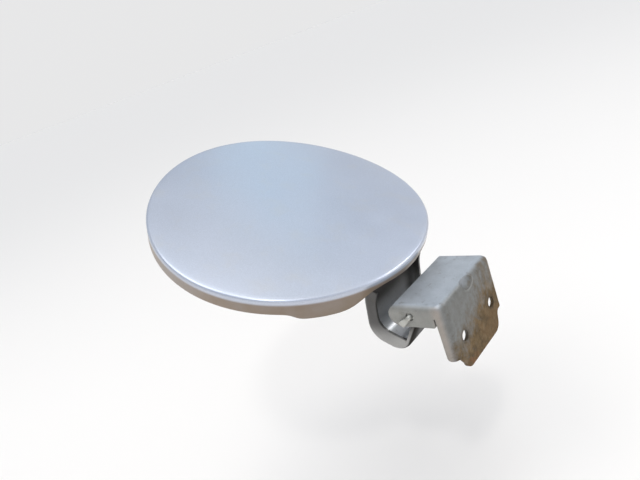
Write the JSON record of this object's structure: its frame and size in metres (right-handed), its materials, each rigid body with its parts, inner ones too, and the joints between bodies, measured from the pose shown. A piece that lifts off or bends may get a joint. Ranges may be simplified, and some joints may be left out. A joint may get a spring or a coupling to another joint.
{
  "type": "car fuel door",
  "caption": "Round silver fuel filler door on a gooseneck hinge arm, with its sprung hinge pin and a bolt-on sheet bracket.",
  "frame": {"origin": "on the outer face of the bracket's mounting plate, between the two bolt holes", "axes": "+X out of the mounting plate and away from the door, +Y along the hinge pin, +Z out of the bracket's top plate"},
  "size_m": [0.1933, 0.18, 0.1451],
  "materials": {
    "silver_paint": "metallic paint under clear coat",
    "grey_paint": "thin metallic paint",
    "rusty_grey_paint": "thin paint, stained and rusty low down",
    "plated_steel": "dull plating",
    "spring_wire": "dark drawn wire",
    "black_rubber": "matte",
    "sealer": "matte"
  },
  "bodies": {
    "bracket": {"hinge_bracket": "rusty_grey_paint", "hinge_pin": "plated_steel", "torsion_spring": "spring_wire"},
    "door": {"outer_skin": "silver_paint", "inner_panel": "silver_paint", "sealer_pads": "sealer", "gooseneck_arm": "grey_paint", "latch_striker": "plated_steel", "buffer_near": "black_rubber", "buffer_far": "black_rubber"}
  },
  "joints": [
    {"name": "door_hinge", "type": "hinge", "parent": "bracket", "child": "door", "pos_m": [-0.0215, 0, 0.0189], "axis": [0, 1, 0], "range_deg": [0, 87]}
  ]
}
